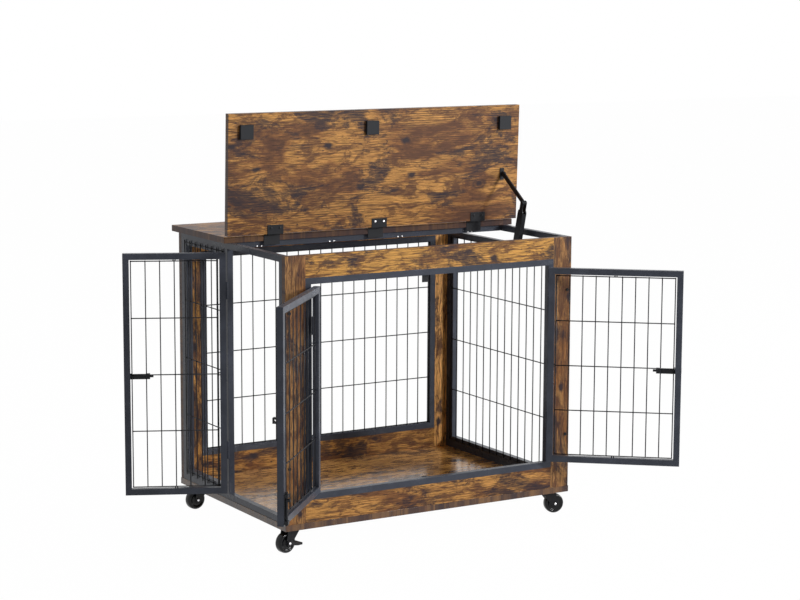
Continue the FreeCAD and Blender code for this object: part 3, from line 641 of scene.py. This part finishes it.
def add_turned(
    mesh: bmesh.types.BMesh, profile: list[tuple[float, float]], place: Matrix, sides: int, ring: bool = False
) -> None:
    """Add a solid of revolution about the placed Z axis.

    Args:
        mesh: the mesh to add to.
        profile: (radius, height) pairs from the bottom to the top, on the axis at both ends unless it is
            a ring.
        place: where its axis goes.
        sides: faces round it.
        ring: whether it has a bore, with the profile's end joined to its start.
    """
    rings = []
    for radius, height in profile:
        if radius < ON_AXIS:
            rings.append([mesh.verts.new(place @ Vector((0.0, 0.0, height)))])
            continue
        circle = []
        for step in range(sides):
            angle = math.tau * step / sides
            spot = Vector((radius * math.cos(angle), radius * math.sin(angle), height))
            circle.append(mesh.verts.new(place @ spot))
        rings.append(circle)
    if ring:
        rings.append(rings[0])
    for low, high in zip(rings, rings[1:]):
        for step in range(sides):
            after = (step + 1) % sides
            corners = [low[step % len(low)], low[after % len(low)]]
            corners += [high[after % len(high)], high[step % len(high)]]
            unique = list(dict.fromkeys(corners))
            mesh.faces.new(unique).smooth = True


def aim(point: Vector, way: Vector) -> Matrix:
    """Return a placement at a point, with Z along a way."""
    return Matrix.Translation(point) @ way.to_track_quat("Z", "Y").to_matrix().to_4x4()


@dataclass
class Plane:
    """A flat frame to draw a panel or a fitting in: x along, y inwards, z up."""

    origin: Vector
    along: Vector
    inward: Vector

    def at(self, x: float, y: float, z: float) -> Vector:
        """Return a point of the crate's frame from the plane's own x, y and z."""
        return self.origin + self.along * x + self.inward * y + Vector((0.0, 0.0, z))


@dataclass
class WirePanel:
    """A welded panel of round wires, which stands for a flat panel of the frame."""

    node: str
    body: str
    plane: Plane
    across: tuple[float, float]
    up: tuple[float, float]
    depth: float
    columns: int
    rows: int = 4
    wire: float = 0.003
    tabs: float = 0.0
    ends: float = 0.0
    weld_share: float = 0.62
    rod_share: float = 0.92
    sides: int = 8
    tab_offset: float = 0.0025
    tab_radius: float = 0.0014
    tab_bite: float = 0.001

    def build(self, material: bpy.types.Material) -> bpy.types.Object:
        """Build every wire of the panel.

        Args:
            material: the wires' finish.

        Returns:
            The panel, which replaces its node.
        """
        mesh = bmesh.new()
        half = self.wire / 2
        left, right = self.across[0] + half, self.across[1] - half
        low, high = self.up[0] + half, self.up[1] - half
        weld = half * self.weld_share
        for step in range(self.columns + 1):
            x = left + (right - left) * step / self.columns
            start = self.plane.at(x, self.depth - weld, low - half - self.ends)
            end = self.plane.at(x, self.depth - weld, high + half + self.ends)
            add_rod(mesh, start, end, half * self.rod_share, self.sides)
        for step in range(self.rows + 1):
            z = low + (high - low) * step / self.rows
            start = self.plane.at(left - half, self.depth + weld, z)
            end = self.plane.at(right + half, self.depth + weld, z)
            add_rod(mesh, start, end, half * self.rod_share, self.sides)
        if self.tabs:
            self._add_tabs(mesh)
        thing = piece(f"{self.node}_wires", mesh, self.body, material)
        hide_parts(self.node)
        return thing

    def _add_tabs(self, mesh: bmesh.types.BMesh) -> None:
        """Add the short rods that weld the panel to the tubes round it.

        Args:
            mesh: the mesh to add to.
        """
        middle_x = sum(self.across) / 2
        middle_z = sum(self.up) / 2
        for x, way in ((self.across[0], -1), (self.across[1], 1)):
            for z in (middle_z - self.tab_offset, middle_z + self.tab_offset):
                start = self.plane.at(x - way * self.tab_bite, self.depth, z)
                end = self.plane.at(x + way * self.tabs, self.depth, z)
                add_rod(mesh, start, end, self.tab_radius, self.sides)
        for z, way in ((self.up[0], -1), (self.up[1], 1)):
            for x in (middle_x - self.tab_offset, middle_x + self.tab_offset):
                start = self.plane.at(x, self.depth, z - way * self.tab_bite)
                end = self.plane.at(x, self.depth, z + way * self.tabs)
                add_rod(mesh, start, end, self.tab_radius, self.sides)


@dataclass
class Crate:
    """The overall sizes that the pieces of the scene are placed by, in metres."""

    half_depth: float = 0.2825
    tube: float = 0.015
    inner_x: float = 0.332
    inner_low: float = 0.143
    inner_high: float = 0.637
    door_low: float = 0.149
    door_high: float = 0.634
    door_width: float = 0.328
    side_low: float = 0.0955
    side_high: float = 0.6835
    side_width: float = 0.2445
    barrel: float = 0.004
    front_hinge: tuple[float, float] = (0.331, -0.2865)
    side_hinge: tuple[float, float] = (-0.404, 0.0095)
    left_turn: float = -133.0
    right_turn: float = 320.0
    side_turn: float = -205.0

    def left_door(self) -> Plane:
        """Return the open left door's plane, from its hinge axis."""
        return self._swung(Vector((-self.front_hinge[0], self.front_hinge[1], 0.0)), self.left_turn, 1.0)

    def right_door(self) -> Plane:
        """Return the open right door's plane, from its hinge axis."""
        return self._swung(Vector((*self.front_hinge, 0.0)), self.right_turn, -1.0)

    def side_door(self) -> Plane:
        """Return the open side door's plane, from its hinge axis."""
        return self._swung(Vector((*self.side_hinge, 0.0)), self.side_turn, 1.0)

    def _swung(self, axis: Vector, angle: float, inward: float) -> Plane:
        """Lay a door's plane after a turn about its hinge.

        Args:
            axis: a point of the hinge axis.
            angle: the way that the door points, in degrees from X.
            inward: 1 or -1, the side that the inner face is on.

        Returns:
            The door's plane.
        """
        turn = math.radians(angle)
        along = Vector((math.cos(turn), math.sin(turn), 0.0))
        return Plane(axis, along, Vector((-math.sin(turn), math.cos(turn), 0.0)) * inward)


@dataclass
class WirePanels:
    """Every wire panel of the crate and its doors."""

    crate: Crate
    wires: bpy.types.Material
    gap: float = 0.0025

    def build(self) -> None:
        """Build the fixed panels and the panels of the doors."""
        crate = self.crate
        front = Plane(Vector((0.0, 0.0, 0.0)), Vector((1.0, 0.0, 0.0)), Vector((0.0, 1.0, 0.0)))
        side = Plane(Vector((0.0, 0.0, 0.0)), Vector((0.0, 1.0, 0.0)), Vector((1.0, 0.0, 0.0)))
        edge = crate.inner_x
        up = (crate.inner_low, crate.inner_high)
        depth = crate.half_depth - crate.tube / 2
        WirePanel("rear_panel_mesh", "root", front, (-edge, edge), up, depth, 20).build(self.wires)
        for name, columns, ends in (("left_panel_mesh", 7, 0.005), ("right_panel_mesh", 15, 0.0)):
            low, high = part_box(name)
            depth = (low[0] + high[0]) / 2
            up = (low[2] + ends, high[2] - ends)
            WirePanel(name, "root", side, (low[1], high[1]), up, depth, columns, ends=ends).build(self.wires)
        inset = crate.tube + self.gap
        depth = crate.barrel + crate.tube / 2
        front_size = (0.001, crate.door_width, crate.door_low, crate.door_high)
        side_size = (0.002, crate.side_width, crate.side_low, crate.side_high)
        for name, plane, (start, width, low, high), columns in (
            ("left_door", crate.left_door(), front_size, 9),
            ("right_door", crate.right_door(), front_size, 9),
            ("side_door", crate.side_door(), side_size, 6),
        ):
            across = (start + inset, start + width - inset)
            up = (low + inset, high - inset)
            WirePanel(f"{name}_mesh", name, plane, across, up, depth, columns, tabs=self.gap).build(self.wires)


@dataclass
class Fasteners:
    """Screws: small domed heads with a hollow in the middle."""

    zinc: bpy.types.Material
    black: bpy.types.Material
    rail_places: tuple[float, ...] = (-0.314, -0.114, 0.082, 0.290)
    rail_seat: tuple[float, float] = (0.0115, 0.6925)
    rail_step: float = 0.006
    rail_radius: float = 0.0022
    outer_leaves: tuple[float, ...] = (-0.285, 0.295)
    middle_leaf: tuple[float, ...] = (0.005,)
    leaf_height: float = 0.7375
    leaf_step: float = 0.012
    leaf_radius: float = 0.0030
    sunk: float = 0.0003
    sides: int = 16

    def build(self) -> None:
        """Set the screws of the rail and of the lid hinges."""
        out = Vector((0.0, -1.0, 0.0))
        rail = self._pairs(self.rail_places, self.rail_step, *self.rail_seat)
        self._heads("cross_rail_screws", rail, out, self.rail_radius, "root", self.zinc)
        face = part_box("lid_hinge_leaves")[0][1]
        for name, places, slot, material in (
            ("lid_leaf_screws", self.outer_leaves, "grey_steel", self.black),
            ("middle_leaf_screws", self.middle_leaf, "zinc_fittings", self.zinc),
        ):
            seats = self._pairs(places, self.leaf_step, face, self.leaf_height)
            self._heads(name, seats, out, self.leaf_radius, "lid", material)

    def _pairs(self, places: tuple[float, ...], step: float, y: float, z: float) -> list[Vector]:
        """Return the seats of two screws beside each place along X."""
        return [Vector((x + side, y, z)) for x in places for side in (-step, step)]

    def _heads(
        self,
        name: str,
        seats: list[Vector],
        way: Vector,
        radius: float,
        body: str,
        material: bpy.types.Material,
    ) -> None:
        """Build a set of domed heads as one piece.

        Args:
            name: the piece's name.
            seats: the middle of each head's underside.
            way: the way that the heads look.
            radius: half a head's width.
            body: the body that they move with.
            material: the finish.
        """
        mesh = bmesh.new()
        profile = [(0.0, -self.sunk), (radius, -self.sunk), (radius * 0.96, radius * 0.22)]
        profile += [(radius * 0.7, radius * 0.42), (radius * 0.3, radius * 0.5), (0.0, radius * 0.2)]
        for seat in seats:
            add_turned(mesh, profile, aim(seat, way), self.sides)
        piece(name, mesh, body, material)


@dataclass
class Boards:
    """The wood-grain boards."""

    post_light: Colour = (0.36, 0.18, 0.06)
    rail_light: Colour = (0.56, 0.28, 0.06)
    inner_post_light: Colour = (0.80, 0.40, 0.12)
    deck_light: Colour = (0.72, 0.36, 0.10)
    deck_middle: Colour = (0.42, 0.17, 0.045)

    def build(self, frame: dict) -> None:
        """Finish each board with its own cut of the print.

        Args:
            frame: the loaded frame.
        """
        deck = {"light": self.deck_light, "middle": self.deck_middle, "roughness": 0.10, "shine": 0.45}
        for node, name, grain, face, shift, changes in (
            ("front_bottom_board", "front_rail", Axis.X, Axis.Y, (0.31, 0.12), {}),
            (
                "front_top_board",
                "golden_rail",
                Axis.X,
                Axis.Y,
                (0.62, 0.33),
                {"gold_low": 0.34, "light": self.rail_light},
            ),
            ("rear_bottom_board", "rear_low_rail", Axis.X, Axis.Y, (1.7, 0.6), {}),
            ("rear_top_board", "rear_high_rail", Axis.X, Axis.Y, (2.9, 1.6), {}),
            ("front_left_post", "left_post", Axis.Z, Axis.Y, (0.2, 0.77), {"light": self.post_light}),
            (
                "front_right_post",
                "right_post",
                Axis.Z,
                Axis.Y,
                (1.3, 0.17),
                {"light": self.post_light, "patch_low": 0.505},
            ),
            ("rear_left_post", "rear_left_post", Axis.Z, Axis.Y, (2.2, 0.5), {}),
            (
                "rear_right_post",
                "rear_right_post",
                Axis.Z,
                Axis.Y,
                (3.1, 0.9),
                {"gold_low": 0.36, "light": self.inner_post_light, "patch_low": 0.56},
            ),
            ("lid_panel", "lid", Axis.X, Axis.Y, (0.13, 0.41), {"saw_marks": 0.5}),
            ("fixed_top", "fixed_top", Axis.X, Axis.Z, (0.9, 0.35), {"patch_low": 0.50}),
            ("base_board", "deck", Axis.X, Axis.Z, (0.5, 0.75), {"gold_low": 0.34, **deck}),
        ):
            finish = RusticLaminate(f"laminate_{name}", grain, face, shift, **changes)
            dress(frame, finish.make(), node)


@dataclass
class Steelwork:
    """The powder-coated tubes and fittings of the crate and its doors."""

    coat: PowderCoat = PowderCoat("charcoal_powder_coat", (0.046, 0.052, 0.070))
    black: PowderCoat = PowderCoat("black_powder_coat", (0.012, 0.013, 0.016), 0.42, 0.0006)

    def build(self, frame: dict) -> bpy.types.Material:
        """Finish the tubes and fittings.

        Args:
            frame: the loaded frame.

        Returns:
            The black coat's material.
        """
        coat = self.coat.make()
        black = self.black.make()
        for name in frame["nodes"]:
            if name.endswith(("_frame", "_barrels")) or name == "cross_rail":
                dress(frame, coat, name)
            fitting = any(word in name for word in ("latch", "bolt", "keeper", "door_stop"))
            if fitting or name.startswith(("stay_", "lid_hinge")):
                dress(frame, black, name)
        return black


@dataclass
class Casters:
    """Swivel casters: black forks, glossy wheels, pedals and bright axle ends."""

    zinc: bpy.types.Material
    radius: float = 0.025
    width: float = 0.020
    fork_face: float = 0.0135
    pedal_eye: float = 0.0026
    rivet_rise: float = 0.0012
    wheel_sides: int = 40
    cap_sides: int = 20
    swivels: tuple[tuple[str, float], ...] = (
        ("front_left", 194.0),
        ("front_right", 347.0),
        ("rear_left", 189.0),
        ("rear_right", 200.0),
    )
    braked: tuple[str, ...] = ("front_left", "rear_right")

    def build(self, frame: dict) -> None:
        """Finish the casters, turn their wheels and cap their axles.

        Args:
            frame: the loaded frame.
        """
        fork = PowderCoat("caster_fork_coat", (0.008, 0.008, 0.010), 0.30, 0.0008).make()
        tread = MouldedPlastic("caster_wheel_plastic", (0.004, 0.004, 0.005), 0.16).make()
        pedal = MouldedPlastic("brake_pedal_plastic", (0.012, 0.012, 0.013), 0.4).make()
        for corner, angle in self.swivels:
            dress(frame, fork, f"{corner}_fork")
            self._wheel(corner, angle, tread)
            self._caps(corner, angle)
        dress(frame, pedal, "front_left_pedal", "rear_right_pedal")
        dress(frame, fork, "caster_plates")

    def _seat(self, corner: str, angle: float) -> tuple[Vector, Vector]:
        """Find the centre of one caster's wheel and the way of its axle.

        Args:
            corner: the caster's corner.
            angle: the way that the caster points.

        Returns:
            The centre and the way.
        """
        turn = math.radians(angle)
        low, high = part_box(f"{corner}_wheel")
        centre = Vector(((low[0] + high[0]) / 2, (low[1] + high[1]) / 2, self.radius))
        return centre, Vector((-math.sin(turn), math.cos(turn), 0.0))

    def _wheel(self, corner: str, angle: float, tread: bpy.types.Material) -> None:
        """Build one wheel with a rounded tread and a hollow round its hub.

        Args:
            corner: the caster's corner.
            angle: the way that the caster points.
            tread: the wheel's finish.
        """
        centre, across = self._seat(corner, angle)
        half = self.width / 2
        hub = [(0.0034, half + 0.0004), (0.0082, half + 0.0004), (0.0092, half - 0.0004)]
        web = [(0.0098, half - 0.0022), (0.0168, half - 0.0022), (0.0178, half - 0.0002)]
        tyre = [(0.0205, half), (0.0222, half - 0.0007), (0.0238, half - 0.0020)]
        side = hub + web + tyre + [(0.0247, half - 0.0042), (self.radius, half - 0.0065)]
        profile = [(radius, -height) for radius, height in side] + side[::-1]
        mesh = bmesh.new()
        add_turned(mesh, profile, aim(centre, across), self.wheel_sides, ring=True)
        thing = piece(f"{corner}_turned_wheel", mesh, f"{corner}_roll", tread)
        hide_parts(f"{corner}_wheel")

    def _caps(self, corner: str, angle: float) -> None:
        """Add the domed bright ends of one caster's axle.

        Args:
            corner: the caster's corner.
            angle: the way that the caster points.
        """
        centre, across = self._seat(corner, angle)
        reach = self.fork_face + (self.pedal_eye if corner in self.braked else 0.0) + self.rivet_rise
        profile = [(0.0, -0.001), (0.0034, -0.001), (0.0034, 0.0004), (0.0026, 0.0012), (0.0, 0.0015)]
        mesh = bmesh.new()
        for way in (across, -across):
            add_turned(mesh, profile, aim(centre + way * reach, way), self.cap_sides)
        piece(f"{corner}_axle_ends", mesh, f"{corner}_caster", self.zinc)


@dataclass
class Studio:
    """A pale floor, soft lamps and the camera."""

    eye: Vector = field(default_factory=lambda: Vector((-2.6913, -4.6091, 1.3481)))
    yaw: float = -31.5
    pitch: float = -8.72
    roll: float = 0.33
    focal: float = 2162.3
    centre: tuple[float, float] = (419.35, 303.76)
    picture: tuple[float, float] = (800.0, 600.0)
    sensor: float = 36.0
    far: float = 60.0
    floor_half: float = 14.0
    floor_tone: Colour = (0.86, 0.86, 0.86)
    floor_glow: float = 0.99
    ambient: float = 0.14
    aim_height: float = 0.4
    lamps: tuple[tuple[str, tuple[float, float, float], float, float], ...] = (
        ("key_lamp", (2.8, -4.6, 2.2), 0.9, 190.0),
        ("side_lamp", (5.0, -1.4, 2.4), 2.2, 190.0),
        ("top_lamp", (-0.4, 0.6, 4.6), 2.6, 60.0),
    )

    def build(self) -> None:
        """Build the floor, the lamps, the world and the camera."""
        self._floor()
        self._world()
        for name, spot, size, power in self.lamps:
            self._lamp(name, spot, size, power)
        self._camera()

    def _camera(self) -> None:
        """Place the camera at the photograph's viewing angle."""
        yaw, pitch, roll = (math.radians(a) for a in (self.yaw, self.pitch, self.roll))
        ahead = Vector((-math.sin(yaw) * math.cos(pitch), math.cos(yaw) * math.cos(pitch), math.sin(pitch)))
        level = Vector((math.cos(yaw), math.sin(yaw), 0.0))
        raised = level.cross(ahead)
        right = level * math.cos(roll) + raised * math.sin(roll)
        up = raised * math.cos(roll) - level * math.sin(roll)
        data = bpy.data.cameras.new("camera")
        data.sensor_fit = "HORIZONTAL"
        wide, high = self.picture
        data.sensor_width = self.sensor
        data.lens = self.focal / wide * self.sensor
        data.shift_x = (wide / 2 - self.centre[0]) / wide
        data.shift_y = (self.centre[1] - high / 2) / wide
        data.clip_end = self.far
        thing = bpy.data.objects.new("camera", data)
        turn = Matrix((right, up, -ahead)).transposed().to_4x4()
        thing.matrix_world = Matrix.Translation(self.eye) @ turn
        bpy.context.scene.collection.objects.link(thing)
        bpy.context.scene.camera = thing

    def _floor(self) -> None:
        """Lay the pale floor, which keeps a soft shadow."""
        mesh = bmesh.new()
        bmesh.ops.create_grid(mesh, x_segments=1, y_segments=1, size=self.floor_half)
        data = bpy.data.meshes.new("floor")
        mesh.to_mesh(data)
        mesh.free()
        thing = bpy.data.objects.new("floor", data)
        bpy.context.scene.collection.objects.link(thing)
        bench = Bench("floor_white")
        bench.shader.inputs["Base Color"].default_value = (*self.floor_tone, 1.0)
        bench.shader.inputs["Roughness"].default_value = 0.9
        glow = bench.node("ShaderNodeEmission")
        glow.inputs["Color"].default_value = (1.0, 1.0, 1.0, 1.0)
        path = bench.node("ShaderNodeLightPath")
        seen = bench.maths("MAXIMUM", path.outputs["Is Camera Ray"], path.outputs["Is Glossy Ray"])
        share = bench.maths("MULTIPLY", seen, self.floor_glow)
        mix = bench.node("ShaderNodeMixShader")
        bench.join(share, mix.inputs[0])
        bench.join(bench.shader.outputs[0], mix.inputs[1])
        bench.join(glow.outputs[0], mix.inputs[2])
        bench.join(mix.outputs[0], bench.tree.nodes["Material Output"].inputs["Surface"])
        thing.data.materials.append(bench.material)

    def _world(self) -> None:
        """Light the crate softly from all round, before a white background."""
        world = bpy.data.worlds.new("studio")
        bpy.context.scene.world = world
        world.use_nodes = True
        tree = world.node_tree
        soft = tree.nodes["Background"]
        soft.inputs["Color"].default_value = (1.0, 1.0, 1.0, 1.0)
        soft.inputs["Strength"].default_value = self.ambient
        white = tree.nodes.new("ShaderNodeBackground")
        white.inputs["Color"].default_value = (1.0, 1.0, 1.0, 1.0)
        white.inputs["Strength"].default_value = 1.0
        path = tree.nodes.new("ShaderNodeLightPath")
        seen = tree.nodes.new("ShaderNodeMath")
        seen.operation = "MAXIMUM"
        both = tree.nodes.new("ShaderNodeMath")
        both.operation = "MAXIMUM"
        tree.links.new(path.outputs["Is Camera Ray"], seen.inputs[0])
        tree.links.new(path.outputs["Is Glossy Ray"], seen.inputs[1])
        tree.links.new(seen.outputs[0], both.inputs[0])
        tree.links.new(path.outputs["Is Transmission Ray"], both.inputs[1])
        mix = tree.nodes.new("ShaderNodeMixShader")
        tree.links.new(both.outputs[0], mix.inputs[0])
        tree.links.new(soft.outputs[0], mix.inputs[1])
        tree.links.new(white.outputs[0], mix.inputs[2])
        tree.links.new(mix.outputs[0], tree.nodes["World Output"].inputs["Surface"])

    def _lamp(self, name: str, spot: tuple[float, float, float], size: float, power: float) -> None:
        """Hang one soft square lamp that faces the crate.

        Args:
            name: the lamp's name.
            spot: where it hangs.
            size: its side.
            power: its strength in watts.
        """
        data = bpy.data.lights.new(name, "AREA")
        data.size = size
        data.energy = power
        thing = bpy.data.objects.new(name, data)
        place = Vector(spot)
        thing.matrix_world = aim(place, place - Vector((0.0, 0.0, self.aim_height)))
        bpy.context.scene.collection.objects.link(thing)


def main() -> None:
    """Build and dress the crate."""
    logging.basicConfig(level=logging.INFO, format="%(message)s")
    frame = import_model()
    bpy.context.scene.view_settings.view_transform = "Standard"
    crate = Crate()
    Studio().build()
    Boards().build(frame)
    black = Steelwork().build(frame)
    zinc = BrightZinc("bright_zinc").make()
    wires = PowderCoat("black_wire_coat", (0.012, 0.013, 0.017), 0.4, 0.0).make()
    WirePanels(crate, wires).build()
    pads = MouldedPlastic("pad_rubber", (0.008, 0.009, 0.012), 0.6).make()
    dress(frame, pads, "lid_pads")
    dress(frame, black, "frame_bolts")
    Casters(zinc).build(frame)
    Fasteners(zinc, black).build()


if __name__ == "__main__":
    main()
